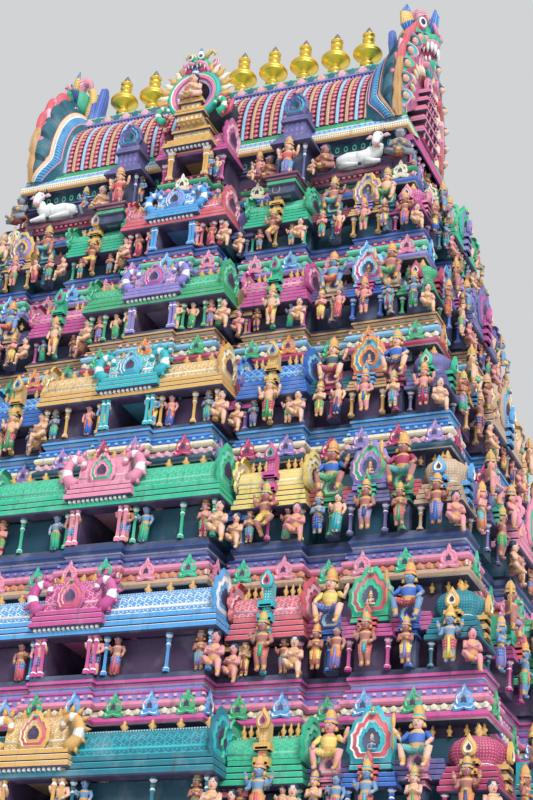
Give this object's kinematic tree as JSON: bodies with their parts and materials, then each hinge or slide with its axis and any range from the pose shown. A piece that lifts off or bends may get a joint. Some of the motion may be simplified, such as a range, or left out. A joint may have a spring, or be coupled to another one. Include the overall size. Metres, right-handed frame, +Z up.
{
  "type": "temple gateway tower",
  "caption": "Tall painted temple gateway tower (gopuram): a granite gateway below, stepped storeys of small shrines and figures, and a barrel roof with crested gables and gold finials.",
  "frame": {"origin": "on the ground at the middle of the gateway passage, which is the middle of the base", "axes": "+X along the front towards its right-hand end, +Y through the gateway from front to back, +Z up; the front faces -Y"},
  "size_m": [23.8, 14.5, 38.3],
  "materials": {
    "granite": "dressed granite",
    "cornice_plaster": "satin enamel paint on lime stucco",
    "wall_plaster": "satin enamel paint on lime stucco",
    "roof_plaster": "satin enamel paint on lime stucco",
    "crest_plaster": "satin enamel paint on lime stucco",
    "gilded_metal": "polished gilded copper"
  },
  "bodies": {
    "root": {"base_left_block": "granite", "base_right_block": "granite", "gateway_ceiling": "granite", "gateway_back_frame": "granite", "gateway_front_frame": "granite", "storey_1_floor": "cornice_plaster", "storey_1_back_wall": "wall_plaster", "storey_1_front_wall": "wall_plaster", "storey_1_right_wall": "wall_plaster", "storey_1_left_wall": "wall_plaster", "storey_2_floor": "cornice_plaster", "storey_2_back_wall": "wall_plaster", "storey_2_front_wall": "wall_plaster", "storey_2_right_wall": "wall_plaster", "storey_2_left_wall": "wall_plaster", "storey_3_floor": "cornice_plaster", "storey_3_back_wall": "wall_plaster", "storey_3_front_wall": "wall_plaster", "storey_3_right_wall": "wall_plaster", "storey_3_left_wall": "wall_plaster", "storey_4_floor": "cornice_plaster", "storey_4_back_wall": "wall_plaster", "storey_4_front_wall": "wall_plaster", "storey_4_right_wall": "wall_plaster", "storey_4_left_wall": "wall_plaster", "storey_5_floor": "cornice_plaster", "storey_5_back_wall": "wall_plaster", "storey_5_front_wall": "wall_plaster", "storey_5_right_wall": "wall_plaster", "storey_5_left_wall": "wall_plaster", "storey_6_floor": "cornice_plaster", "storey_6_back_wall": "wall_plaster", "storey_6_front_wall": "wall_plaster", "storey_6_right_wall": "wall_plaster", "storey_6_left_wall": "wall_plaster", "neck_floor": "cornice_plaster", "neck_back_wall": "wall_plaster", "neck_front_wall": "wall_plaster", "neck_right_wall": "wall_plaster", "neck_left_wall": "wall_plaster", "roof_vault": "roof_plaster", "gable_right": "crest_plaster", "gable_left": "crest_plaster", "dormer_back": "crest_plaster", "dormer_front": "crest_plaster", "ridge_and_finials": "gilded_metal"}
  },
  "joints": []
}
